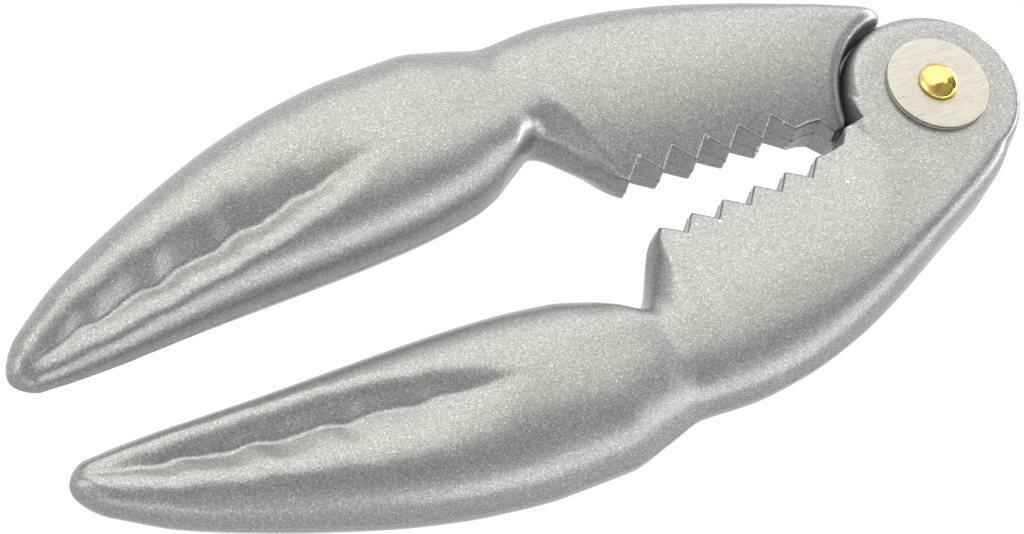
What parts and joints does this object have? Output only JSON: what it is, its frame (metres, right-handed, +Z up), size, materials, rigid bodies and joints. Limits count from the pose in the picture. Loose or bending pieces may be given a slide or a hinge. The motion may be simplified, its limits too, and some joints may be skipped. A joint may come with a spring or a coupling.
{
  "type": "nutcracker",
  "caption": "Claw-shaped hand cracker for nuts and shellfish: two riveted levers with toothed jaws close on a shell when the handles are squeezed.",
  "frame": {"origin": "on the pivot axis, in the plane that the cracker lies on, at the flat of the rivet's back head", "axes": "+X from the handle tips to the pivot, +Y from the front arm to the rear arm, +Z up along the pivot axis"},
  "size_m": [0.1541, 0.069, 0.0158],
  "materials": {
    "painted_casting": "silver metallic paint on a die casting, satin, fine speckle",
    "rivet_brass": "polished, lightly worn",
    "washer_steel": "bright nickel-plated, fine scratches"
  },
  "bodies": {
    "front_half": {"front_arm": "painted_casting", "pivot_rivet": "rivet_brass", "front_washer": "washer_steel", "back_washer": "washer_steel"},
    "rear_half": {"rear_arm": "painted_casting"}
  },
  "joints": [
    {"name": "arm_pivot", "type": "hinge", "parent": "front_half", "child": "rear_half", "pos_m": [0, 0, 0.0078], "axis": [0, 0, -1], "range_deg": [0, 135]}
  ]
}
